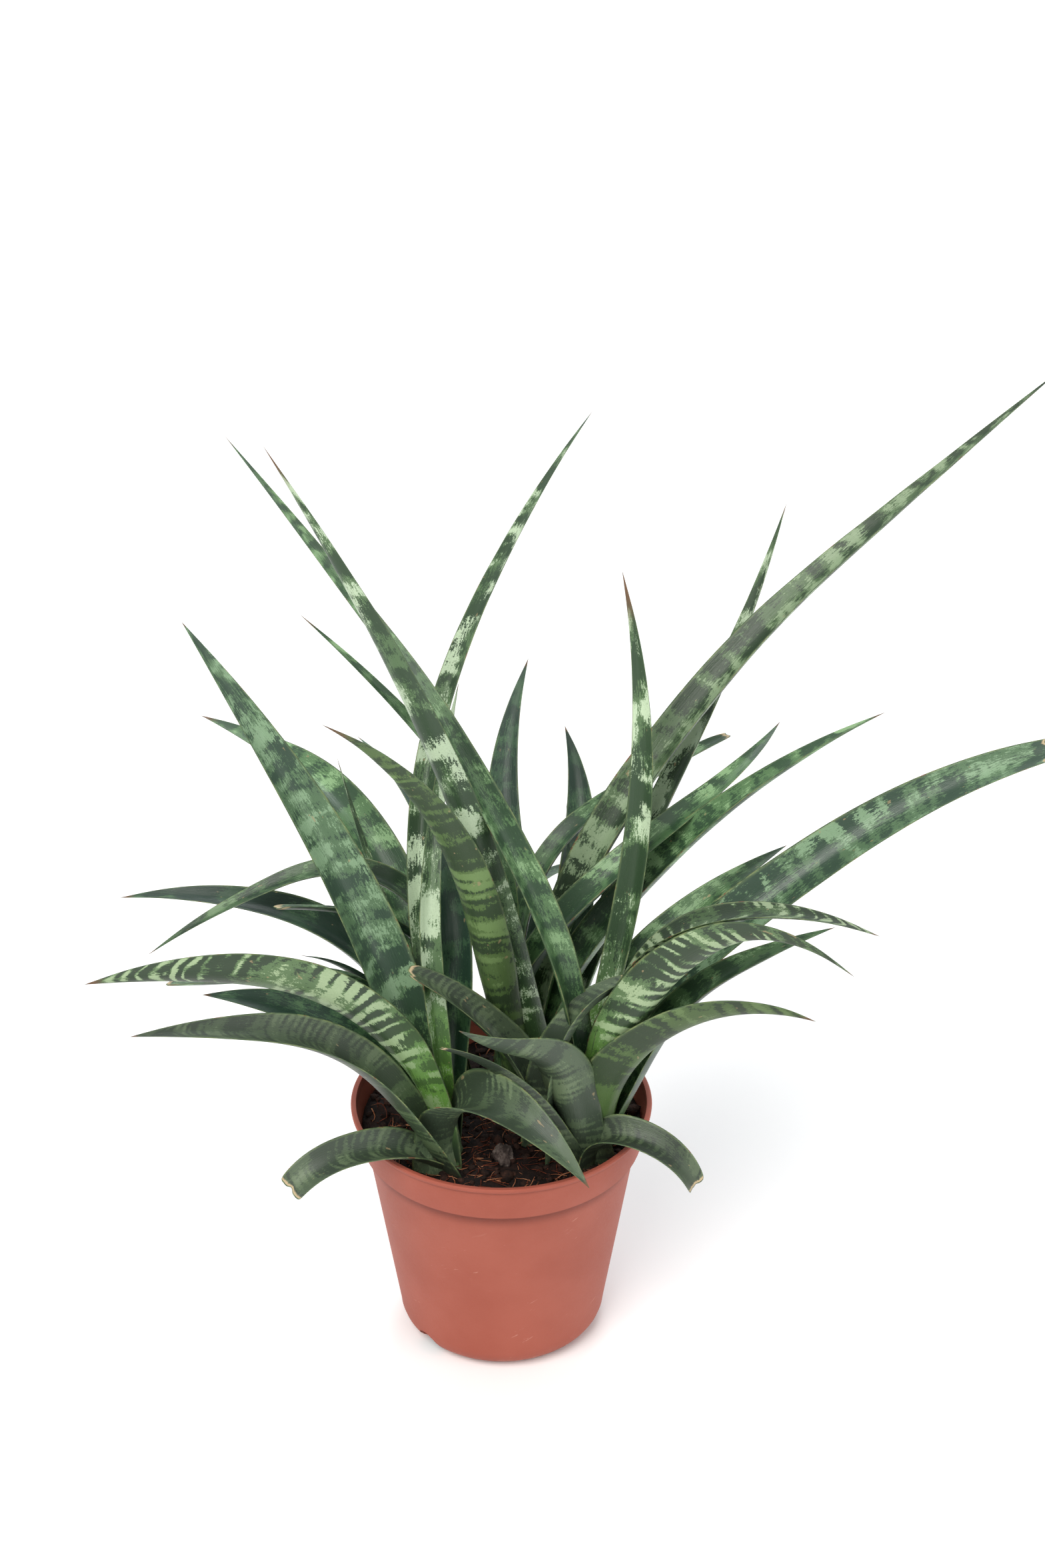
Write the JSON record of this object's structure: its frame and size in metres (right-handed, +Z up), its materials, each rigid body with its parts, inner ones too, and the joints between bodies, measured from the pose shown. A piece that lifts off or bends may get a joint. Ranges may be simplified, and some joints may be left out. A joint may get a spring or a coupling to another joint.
{
  "type": "potted snake plant",
  "caption": "Free-standing potted snake plant: narrow, channelled, banded leaves arching from four rosettes in a small round terracotta-coloured plastic nursery pot",
  "frame": {"origin": "centre of the pot's flat underside, on the surface it stands on", "axes": "+Z up; +Y towards the back of the plant as seen in the reference view; +X to the right"},
  "size_m": [0.3696, 0.2799, 0.3887],
  "materials": {
    "pot": "satin moulded plastic, terracotta colour",
    "soil": "loose dark peat and coir, dull",
    "dark_leaf": "waxy leaf, dark green with mid-green bands, glossy along the channel",
    "banded_leaf": "waxy leaf, dark green with bold pale green bands",
    "old_leaf": "older leaf, dull grey-green with faint bands and dry margins"
  },
  "bodies": {
    "root": {"pot": "pot", "soil": "soil", "front_left_leaf_1": "dark_leaf", "front_left_leaf_2": "banded_leaf", "front_left_leaf_3": "banded_leaf", "front_left_leaf_4": "dark_leaf", "front_left_leaf_5": "banded_leaf", "front_left_leaf_6": "dark_leaf", "front_left_leaf_7": "dark_leaf", "front_left_leaf_8": "old_leaf", "front_left_leaf_9": "old_leaf", "front_right_leaf_1": "dark_leaf", "front_right_leaf_2": "banded_leaf", "front_right_leaf_3": "banded_leaf", "front_right_leaf_4": "dark_leaf", "front_right_leaf_5": "dark_leaf", "front_right_leaf_6": "old_leaf", "front_right_leaf_7": "old_leaf", "front_right_leaf_8": "old_leaf", "front_right_leaf_9": "old_leaf", "front_right_leaf_10": "old_leaf", "front_right_leaf_11": "old_leaf", "front_right_leaf_12": "banded_leaf", "front_right_leaf_13": "dark_leaf", "back_left_leaf_1": "dark_leaf", "back_left_leaf_2": "dark_leaf", "back_left_leaf_3": "dark_leaf", "back_left_leaf_4": "dark_leaf", "back_left_leaf_5": "dark_leaf", "back_left_leaf_6": "dark_leaf", "back_left_leaf_7": "dark_leaf", "back_right_leaf_1": "banded_leaf", "back_right_leaf_2": "dark_leaf", "back_right_leaf_3": "old_leaf", "back_right_leaf_4": "dark_leaf", "back_right_leaf_5": "dark_leaf", "back_right_leaf_6": "dark_leaf", "back_right_leaf_7": "dark_leaf", "back_right_leaf_8": "dark_leaf", "back_right_leaf_9": "dark_leaf", "back_right_leaf_10": "banded_leaf", "back_right_leaf_11": "banded_leaf", "back_right_leaf_12": "dark_leaf", "back_right_leaf_13": "dark_leaf", "back_right_leaf_14": "banded_leaf"}
  },
  "joints": []
}
